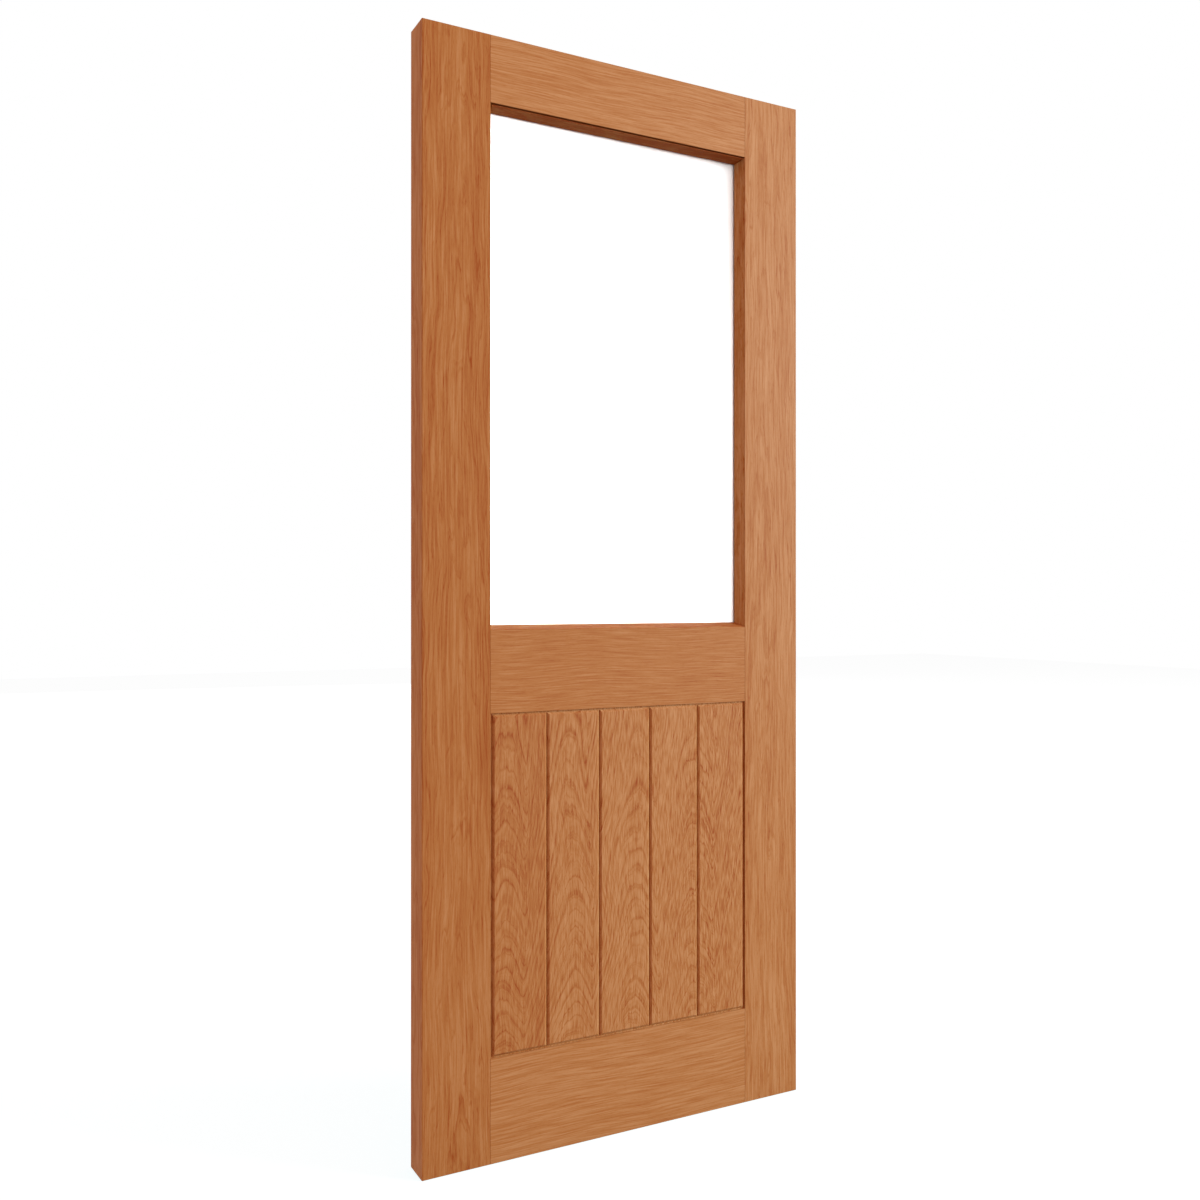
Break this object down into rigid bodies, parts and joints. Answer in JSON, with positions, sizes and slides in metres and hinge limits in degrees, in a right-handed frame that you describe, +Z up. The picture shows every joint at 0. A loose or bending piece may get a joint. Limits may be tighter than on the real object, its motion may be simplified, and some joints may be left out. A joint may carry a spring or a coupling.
{
  "type": "half glazed door",
  "caption": "Timber door leaf with a tall glazed opening above a middle rail and a panel of upright grooved boards below.",
  "frame": {"origin": "on the hinge-side edge face, at mid-thickness, level with the leaf's bottom edge", "axes": "+X across the leaf from the hinge edge to the lock edge, +Y from the front face to the back, +Z up"},
  "size_m": [0.813, 0.06, 2.032],
  "materials": {
    "frame_oak": "satin oiled oak, reddish brown",
    "board_oak": "satin oiled oak, reddish brown",
    "bead_oak": "satin oiled oak, reddish brown",
    "core": "plain sawn softwood",
    "glass": "satin glass that passes light but no clear view",
    "tape": "pale matt foam glazing tape"
  },
  "bodies": {
    "root": {"hinge_stile": "frame_oak", "lock_stile": "frame_oak", "top_rail": "frame_oak", "middle_rail": "frame_oak", "bottom_rail": "frame_oak", "panel_core": "core", "glass_pane": "glass", "front_glazing_tape": "tape", "back_glazing_tape": "tape", "front_board_1": "board_oak", "front_board_2": "board_oak", "front_board_3": "board_oak", "front_board_4": "board_oak", "front_board_5": "board_oak", "front_bead_hinge_side": "bead_oak", "front_bead_lock_side": "bead_oak", "front_bead_top": "bead_oak", "front_bead_bottom": "bead_oak", "back_board_1": "board_oak", "back_board_2": "board_oak", "back_board_3": "board_oak", "back_board_4": "board_oak", "back_board_5": "board_oak", "back_bead_hinge_side": "bead_oak", "back_bead_lock_side": "bead_oak", "back_bead_top": "bead_oak", "back_bead_bottom": "bead_oak"}
  },
  "joints": []
}
